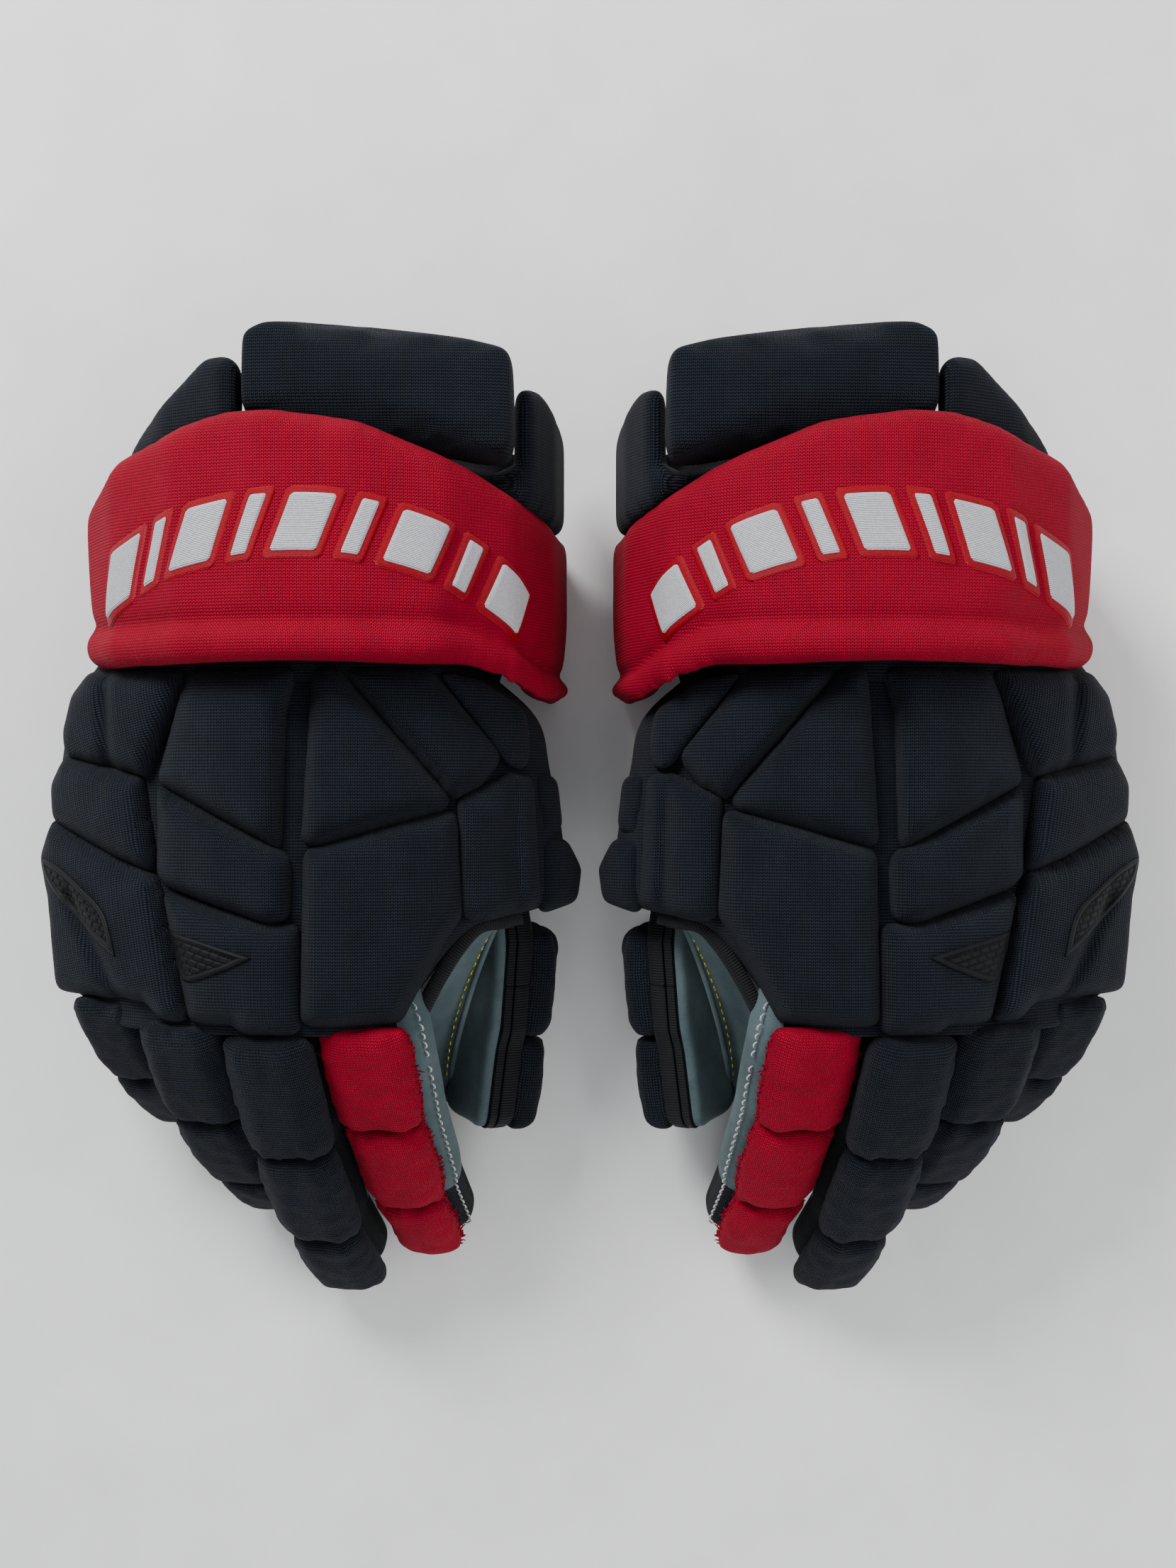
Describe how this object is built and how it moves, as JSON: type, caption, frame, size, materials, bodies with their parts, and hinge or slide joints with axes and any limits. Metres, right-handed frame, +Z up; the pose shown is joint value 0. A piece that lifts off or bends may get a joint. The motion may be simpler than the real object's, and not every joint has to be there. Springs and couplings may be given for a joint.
{
  "type": "pair of hockey gloves",
  "caption": "Pair of padded ice hockey gloves with segmented foam backhands, red cuff rolls, jointed finger rolls and grey suede palms, lying palm down.",
  "frame": {"origin": "centre of the pair's box, on the surface that the gloves lie on", "axes": "+X across the pair from the right-hand glove to the left-hand glove, +Y from the fingers to the cuffs, +Z up out of the backs of the hands"},
  "size_m": [0.382, 0.3298, 0.115],
  "materials": {
    "black_knit": "black nylon knit over foam, pitch about 1 mm",
    "red_knit": "red nylon knit over foam, pitch about 1 mm",
    "grey_suede": "grey synthetic suede with a short nap",
    "lining": "dark brushed tricot lining",
    "rubber_patch": "moulded matte rubber with a raised woven relief"
  },
  "bodies": {
    "right_hand": {"right_outer_roll_1": "black_knit", "right_outer_roll_2": "black_knit", "right_outer_roll_3": "black_knit", "right_center_roll_1": "black_knit", "right_center_roll_2": "black_knit", "right_center_roll_3": "black_knit", "right_inner_roll_1": "black_knit", "right_inner_roll_2": "black_knit", "right_inner_roll_3": "black_knit", "right_palm": "grey_suede", "right_backhand_liner": "lining", "right_thumb_side_rolls": "black_knit", "right_vent_patches": "rubber_patch"},
    "right_cuff": {"right_cuff_roll": "red_knit", "right_cuff_liner": "lining", "right_cuff_side_pads": "black_knit"},
    "right_cuff_flap": {"right_cuff_top_pad": "black_knit"},
    "left_hand": {"left_outer_roll_1": "black_knit", "left_outer_roll_2": "black_knit", "left_outer_roll_3": "black_knit", "left_center_roll_1": "black_knit", "left_center_roll_2": "black_knit", "left_center_roll_3": "black_knit", "left_inner_roll_1": "black_knit", "left_inner_roll_2": "black_knit", "left_inner_roll_3": "black_knit", "left_palm": "grey_suede", "left_backhand_liner": "lining", "left_thumb_side_rolls": "black_knit", "left_vent_patches": "rubber_patch"},
    "left_cuff": {"left_cuff_roll": "red_knit", "left_cuff_liner": "lining", "left_cuff_side_pads": "black_knit"},
    "left_cuff_flap": {"left_cuff_top_pad": "black_knit"},
    "right_index_1": {"right_index_1": "red_knit"},
    "right_index_2": {"right_index_2": "red_knit"},
    "right_index_3": {"right_index_3": "red_knit"},
    "right_middle_1": {"right_middle_1": "black_knit"},
    "right_middle_2": {"right_middle_2": "black_knit"},
    "right_middle_3": {"right_middle_3": "black_knit"},
    "right_ring_1": {"right_ring_1": "black_knit"},
    "right_ring_2": {"right_ring_2": "black_knit"},
    "right_ring_3": {"right_ring_3": "black_knit"},
    "right_pinky_1": {"right_pinky_1": "black_knit"},
    "right_pinky_2": {"right_pinky_2": "black_knit"},
    "right_thumb_1": {"right_thumb_1": "black_knit"},
    "right_thumb_2": {"right_thumb_2": "black_knit"},
    "left_index_1": {"left_index_1": "red_knit"},
    "left_index_2": {"left_index_2": "red_knit"},
    "left_index_3": {"left_index_3": "red_knit"},
    "left_middle_1": {"left_middle_1": "black_knit"},
    "left_middle_2": {"left_middle_2": "black_knit"},
    "left_middle_3": {"left_middle_3": "black_knit"},
    "left_ring_1": {"left_ring_1": "black_knit"},
    "left_ring_2": {"left_ring_2": "black_knit"},
    "left_ring_3": {"left_ring_3": "black_knit"},
    "left_pinky_1": {"left_pinky_1": "black_knit"},
    "left_pinky_2": {"left_pinky_2": "black_knit"},
    "left_thumb_1": {"left_thumb_1": "black_knit"},
    "left_thumb_2": {"left_thumb_2": "black_knit"}
  },
  "joints": [
    {"name": "pair_spacing", "type": "slide", "parent": "right_hand", "child": "left_hand", "axis": [1, 0, 0], "range_m": [0, 0.3]},
    {"name": "right_wrist_flex", "type": "hinge", "parent": "right_hand", "child": "right_cuff", "pos_m": [-0.09, 0.0554, 0.05], "axis": [-1, 0, 0], "range_deg": [-3, 10], "stiffness_Nm_per_rad": 2},
    {"name": "right_flap_lift", "type": "hinge", "parent": "right_cuff", "child": "right_cuff_flap", "pos_m": [-0.069, 0.12388, 0.077], "axis": [0.9863, -0.165, 0], "range_deg": [-15, 10], "stiffness_Nm_per_rad": 0.8},
    {"name": "right_index_knuckle", "type": "hinge", "parent": "right_hand", "child": "right_index_1", "pos_m": [-0.07347, -0.0626, 0.08915], "axis": [0.9816, 0, 0.1908], "range_deg": [-12, 3], "stiffness_Nm_per_rad": 1.6},
    {"name": "right_index_middle_joint", "type": "hinge", "parent": "right_index_1", "child": "right_index_2", "pos_m": [-0.06901, -0.09631, 0.06618], "axis": [0.9816, 0, 0.1908], "range_deg": [-12, 3]},
    {"name": "right_index_tip_joint", "type": "hinge", "parent": "right_index_2", "child": "right_index_3", "pos_m": [-0.0638, -0.12664, 0.03936], "axis": [0.9816, 0, 0.1908], "range_deg": [-12, 3]},
    {"name": "right_middle_knuckle", "type": "hinge", "parent": "right_hand", "child": "right_middle_1", "pos_m": [-0.10457, -0.0656, 0.08924], "axis": [0.9703, 0, 0.2419], "range_deg": [-12, 14], "stiffness_Nm_per_rad": 1.6},
    {"name": "right_middle_middle_joint", "type": "hinge", "parent": "right_middle_1", "child": "right_middle_2", "pos_m": [-0.09863, -0.10605, 0.06541], "axis": [0.9703, 0, 0.2419], "range_deg": [-12, 14]},
    {"name": "right_middle_tip_joint", "type": "hinge", "parent": "right_middle_2", "child": "right_middle_3", "pos_m": [-0.092, -0.13868, 0.03884], "axis": [0.9703, 0, 0.2419], "range_deg": [-12, 14]},
    {"name": "right_ring_knuckle", "type": "hinge", "parent": "right_hand", "child": "right_ring_1", "pos_m": [-0.13453, -0.0626, 0.07939], "axis": [0.9511, 0, 0.309], "range_deg": [-12, 14], "stiffness_Nm_per_rad": 1.6},
    {"name": "right_ring_middle_joint", "type": "hinge", "parent": "right_ring_1", "child": "right_ring_2", "pos_m": [-0.1279, -0.09477, 0.059], "axis": [0.9511, 0, 0.309], "range_deg": [-12, 14]},
    {"name": "right_ring_tip_joint", "type": "hinge", "parent": "right_ring_2", "child": "right_ring_3", "pos_m": [-0.11965, -0.11879, 0.0336], "axis": [0.9511, 0, 0.309], "range_deg": [-12, 14]},
    {"name": "right_pinky_knuckle", "type": "hinge", "parent": "right_hand", "child": "right_pinky_1", "pos_m": [-0.16287, -0.0566, 0.06064], "axis": [0.9205, 0, 0.3907], "range_deg": [-12, 14], "stiffness_Nm_per_rad": 1.6},
    {"name": "right_pinky_tip_joint", "type": "hinge", "parent": "right_pinky_1", "child": "right_pinky_2", "pos_m": [-0.15425, -0.08227, 0.04031], "axis": [0.9205, 0, 0.3907], "range_deg": [-12, 14]},
    {"name": "right_thumb_base", "type": "hinge", "parent": "right_hand", "child": "right_thumb_1", "pos_m": [-0.02578, -0.03257, 0.02824], "axis": [-0.5249, 0.1373, -0.84], "range_deg": [-3, 4], "stiffness_Nm_per_rad": 1.6},
    {"name": "right_thumb_tip_joint", "type": "hinge", "parent": "right_thumb_1", "child": "right_thumb_2", "pos_m": [-0.02881, -0.07198, 0.02369], "axis": [-0.5249, 0.1373, -0.84], "range_deg": [-3, 4]},
    {"name": "left_wrist_flex", "type": "hinge", "parent": "left_hand", "child": "left_cuff", "pos_m": [0.09, 0.0554, 0.05], "axis": [-1, 0, 0], "range_deg": [-3, 10], "stiffness_Nm_per_rad": 2},
    {"name": "left_flap_lift", "type": "hinge", "parent": "left_cuff", "child": "left_cuff_flap", "pos_m": [0.069, 0.12388, 0.077], "axis": [0.9863, 0.165, 0], "range_deg": [-15, 10], "stiffness_Nm_per_rad": 0.8},
    {"name": "left_index_knuckle", "type": "hinge", "parent": "left_hand", "child": "left_index_1", "pos_m": [0.07347, -0.0626, 0.08915], "axis": [0.9816, 0, -0.1908], "range_deg": [-12, 3], "stiffness_Nm_per_rad": 1.6},
    {"name": "left_index_middle_joint", "type": "hinge", "parent": "left_index_1", "child": "left_index_2", "pos_m": [0.06901, -0.09631, 0.06618], "axis": [0.9816, 0, -0.1908], "range_deg": [-12, 3]},
    {"name": "left_index_tip_joint", "type": "hinge", "parent": "left_index_2", "child": "left_index_3", "pos_m": [0.0638, -0.12664, 0.03936], "axis": [0.9816, 0, -0.1908], "range_deg": [-12, 3]},
    {"name": "left_middle_knuckle", "type": "hinge", "parent": "left_hand", "child": "left_middle_1", "pos_m": [0.10457, -0.0656, 0.08924], "axis": [0.9703, 0, -0.2419], "range_deg": [-12, 14], "stiffness_Nm_per_rad": 1.6},
    {"name": "left_middle_middle_joint", "type": "hinge", "parent": "left_middle_1", "child": "left_middle_2", "pos_m": [0.09863, -0.10605, 0.06541], "axis": [0.9703, 0, -0.2419], "range_deg": [-12, 14]},
    {"name": "left_middle_tip_joint", "type": "hinge", "parent": "left_middle_2", "child": "left_middle_3", "pos_m": [0.092, -0.13868, 0.03884], "axis": [0.9703, 0, -0.2419], "range_deg": [-12, 14]},
    {"name": "left_ring_knuckle", "type": "hinge", "parent": "left_hand", "child": "left_ring_1", "pos_m": [0.13453, -0.0626, 0.07939], "axis": [0.9511, 0, -0.309], "range_deg": [-12, 14], "stiffness_Nm_per_rad": 1.6},
    {"name": "left_ring_middle_joint", "type": "hinge", "parent": "left_ring_1", "child": "left_ring_2", "pos_m": [0.1279, -0.09477, 0.059], "axis": [0.9511, 0, -0.309], "range_deg": [-12, 14]},
    {"name": "left_ring_tip_joint", "type": "hinge", "parent": "left_ring_2", "child": "left_ring_3", "pos_m": [0.11965, -0.11879, 0.0336], "axis": [0.9511, 0, -0.309], "range_deg": [-12, 14]},
    {"name": "left_pinky_knuckle", "type": "hinge", "parent": "left_hand", "child": "left_pinky_1", "pos_m": [0.16287, -0.0566, 0.06064], "axis": [0.9205, 0, -0.3907], "range_deg": [-12, 14], "stiffness_Nm_per_rad": 1.6},
    {"name": "left_pinky_tip_joint", "type": "hinge", "parent": "left_pinky_1", "child": "left_pinky_2", "pos_m": [0.15425, -0.08227, 0.04031], "axis": [0.9205, 0, -0.3907], "range_deg": [-12, 14]},
    {"name": "left_thumb_base", "type": "hinge", "parent": "left_hand", "child": "left_thumb_1", "pos_m": [0.02578, -0.03257, 0.02824], "axis": [-0.5249, -0.1373, 0.84], "range_deg": [-3, 4], "stiffness_Nm_per_rad": 1.6},
    {"name": "left_thumb_tip_joint", "type": "hinge", "parent": "left_thumb_1", "child": "left_thumb_2", "pos_m": [0.02881, -0.07198, 0.02369], "axis": [-0.5249, -0.1373, 0.84], "range_deg": [-3, 4]}
  ],
  "couplings": [
    {"joint": "right_index_middle_joint", "follows": "right_index_knuckle", "ratio": 1},
    {"joint": "right_index_tip_joint", "follows": "right_index_knuckle", "ratio": 0.8},
    {"joint": "right_middle_middle_joint", "follows": "right_middle_knuckle", "ratio": 1},
    {"joint": "right_middle_tip_joint", "follows": "right_middle_knuckle", "ratio": 0.8},
    {"joint": "right_ring_middle_joint", "follows": "right_ring_knuckle", "ratio": 1},
    {"joint": "right_ring_tip_joint", "follows": "right_ring_knuckle", "ratio": 0.8},
    {"joint": "right_pinky_tip_joint", "follows": "right_pinky_knuckle", "ratio": 1},
    {"joint": "right_thumb_tip_joint", "follows": "right_thumb_base", "ratio": 1},
    {"joint": "left_index_middle_joint", "follows": "left_index_knuckle", "ratio": 1},
    {"joint": "left_index_tip_joint", "follows": "left_index_knuckle", "ratio": 0.8},
    {"joint": "left_middle_middle_joint", "follows": "left_middle_knuckle", "ratio": 1},
    {"joint": "left_middle_tip_joint", "follows": "left_middle_knuckle", "ratio": 0.8},
    {"joint": "left_ring_middle_joint", "follows": "left_ring_knuckle", "ratio": 1},
    {"joint": "left_ring_tip_joint", "follows": "left_ring_knuckle", "ratio": 0.8},
    {"joint": "left_pinky_tip_joint", "follows": "left_pinky_knuckle", "ratio": 1},
    {"joint": "left_thumb_tip_joint", "follows": "left_thumb_base", "ratio": 1}
  ]
}
